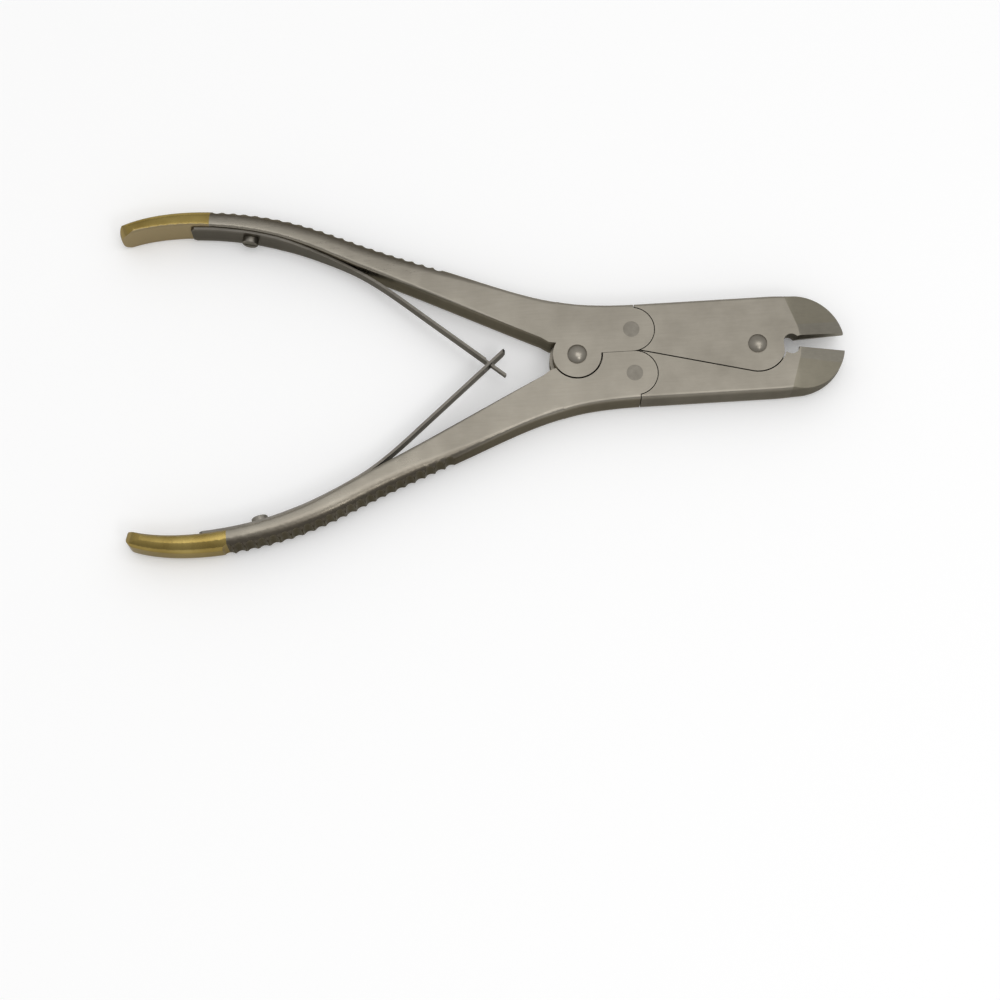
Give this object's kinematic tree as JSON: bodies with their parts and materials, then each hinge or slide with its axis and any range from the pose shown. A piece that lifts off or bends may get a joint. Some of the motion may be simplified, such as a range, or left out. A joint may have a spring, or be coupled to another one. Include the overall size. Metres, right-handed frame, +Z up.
{
  "type": "surgical wire cutter",
  "caption": "Double action hand wire cutter with a straight side cutting head, brazed carbide edges, riveted lap joints and crossed leaf springs that open it.",
  "frame": {"origin": "centre of the overall box at its lowest level, which is the underside of the handle ends", "axes": "+X from the handles to the jaw tips along the axis of the instrument, +Y to the upper handle, +Z up through the rivet heads"},
  "size_m": [0.22, 0.109, 0.0126],
  "materials": {
    "satin_steel": "satin",
    "carbide": "ground",
    "polished_steel": "polished",
    "pin_steel": "matte",
    "spring_steel": "satin",
    "screw_steel": "turned"
  },
  "bodies": {
    "handle_lower": {"handle_lower": "satin_steel", "handle_pivot_rivet": "polished_steel", "link_pin_lower": "pin_steel", "spring_screw_lower": "screw_steel"},
    "handle_upper": {"handle_upper": "satin_steel", "link_pin_upper": "pin_steel", "spring_screw_upper": "screw_steel"},
    "jaw_lower": {"jaw_lower": "satin_steel", "carbide_insert_lower": "carbide", "jaw_pivot_rivet": "polished_steel"},
    "jaw_upper": {"jaw_upper": "satin_steel", "carbide_insert_upper": "carbide"},
    "spring_lower": {"spring_leaf_lower": "spring_steel"},
    "spring_upper": {"spring_leaf_upper": "spring_steel"}
  },
  "joints": [
    {"name": "handle_pivot", "type": "hinge", "parent": "handle_lower", "child": "handle_upper", "pos_m": [0.02814, 0, 0.00585], "axis": [0, 0, 1], "range_deg": [0, 24.75], "stiffness_Nm_per_rad": 1.5, "springref_deg": -14.32},
    {"name": "link_upper", "type": "hinge", "parent": "handle_upper", "child": "jaw_upper", "pos_m": [0.04514, 0.007, 0.00585], "axis": [0, 0, 1], "range_deg": [-17.67, 0]},
    {"name": "link_lower", "type": "hinge", "parent": "handle_lower", "child": "jaw_lower", "pos_m": [0.04514, -0.007, 0.00585], "axis": [0, 0, 1], "range_deg": [0, 17.67]},
    {"name": "spring_flex_upper", "type": "hinge", "parent": "handle_upper", "child": "spring_upper", "pos_m": [-0.04616, 0.03725, 0.00585], "axis": [0, 0, 1], "range_deg": [0, 5.82], "deforming": ["spring_leaf_upper"]},
    {"name": "spring_flex_lower", "type": "hinge", "parent": "handle_lower", "child": "spring_lower", "pos_m": [-0.04616, -0.03725, 0.00585], "axis": [0, 0, 1], "range_deg": [-5.82, 0], "deforming": ["spring_leaf_lower"]}
  ],
  "couplings": [
    {"joint": "link_upper", "follows": "handle_pivot", "ratio": -0.71417},
    {"joint": "link_lower", "follows": "handle_pivot", "ratio": 0.71417},
    {"joint": "spring_flex_upper", "follows": "handle_pivot", "ratio": 0.23517},
    {"joint": "spring_flex_lower", "follows": "handle_pivot", "ratio": -0.23517}
  ]
}
